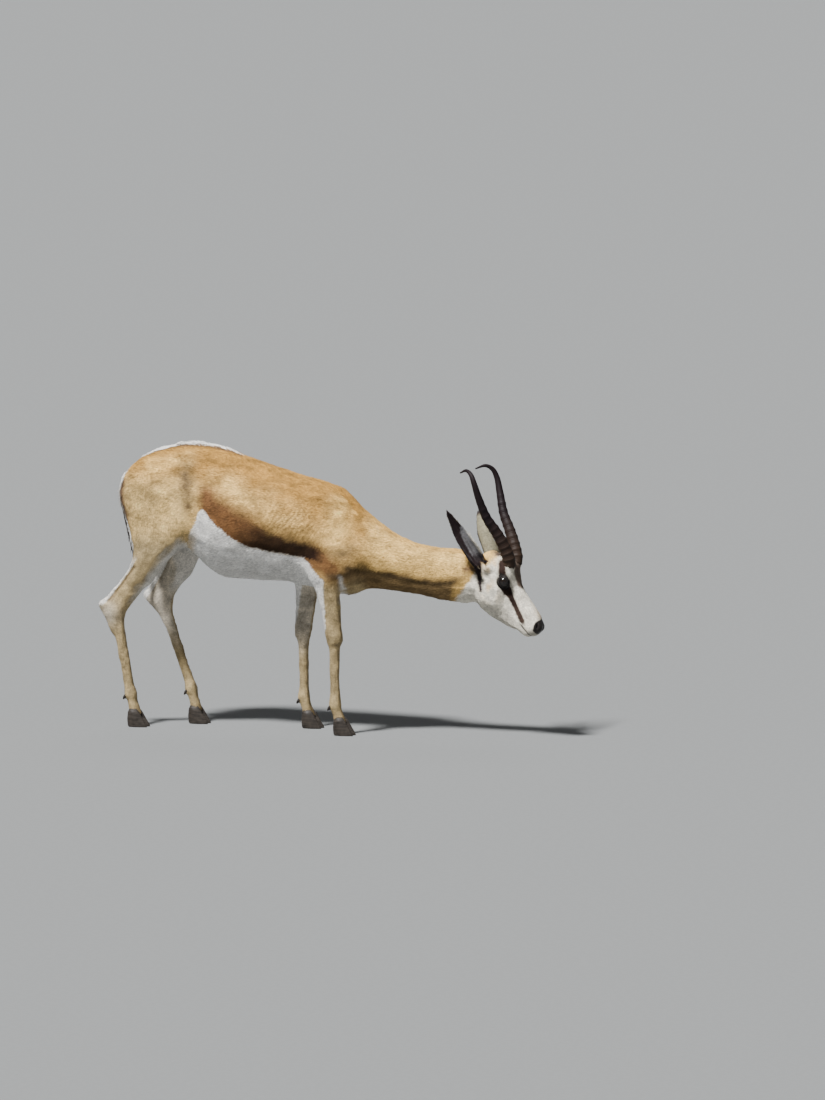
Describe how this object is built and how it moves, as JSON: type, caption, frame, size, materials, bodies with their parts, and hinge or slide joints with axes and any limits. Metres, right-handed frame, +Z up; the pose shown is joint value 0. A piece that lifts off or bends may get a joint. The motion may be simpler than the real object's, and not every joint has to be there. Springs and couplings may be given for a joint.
{
  "type": "springbok",
  "caption": "Life-size still model of a springbok ram standing with its head lowered to drink.",
  "frame": {"origin": "middle of the whole animal's box, at the level of the soles", "axes": "+X towards the head, +Y towards the animal's left, +Z up"},
  "size_m": [1.3018, 0.2496, 0.8025],
  "materials": {
    "body_coat": "short cinnamon fur with a dark flank band and a white belly",
    "face_coat": "very short white fur with a dark stripe from eye to mouth",
    "ear_coat": "thin short fur, dark inside the edge",
    "tail_coat": "white fur with a dark tuft",
    "horn": "ringed horn, satin and smoother to the tips",
    "hoof": "black hoof horn, satin",
    "eye": "wet dark brown eye"
  },
  "bodies": {
    "root": {"head": "face_coat", "neck": "body_coat", "trunk": "body_coat", "tail": "tail_coat", "eye_left": "eye", "horn_left": "horn", "ear_left": "ear_coat", "foreleg_left": "body_coat", "hindleg_left": "body_coat", "foreleg_left_claw_inner": "hoof", "foreleg_left_dewclaw_inner": "hoof", "foreleg_left_claw_outer": "hoof", "foreleg_left_dewclaw_outer": "hoof", "hindleg_left_claw_inner": "hoof", "hindleg_left_dewclaw_inner": "hoof", "hindleg_left_claw_outer": "hoof", "hindleg_left_dewclaw_outer": "hoof", "eye_right": "eye", "horn_right": "horn", "ear_right": "ear_coat", "foreleg_right": "body_coat", "hindleg_right": "body_coat", "foreleg_right_claw_inner": "hoof", "foreleg_right_dewclaw_inner": "hoof", "foreleg_right_claw_outer": "hoof", "foreleg_right_dewclaw_outer": "hoof", "hindleg_right_claw_inner": "hoof", "hindleg_right_dewclaw_inner": "hoof", "hindleg_right_claw_outer": "hoof", "hindleg_right_dewclaw_outer": "hoof"}
  },
  "joints": []
}
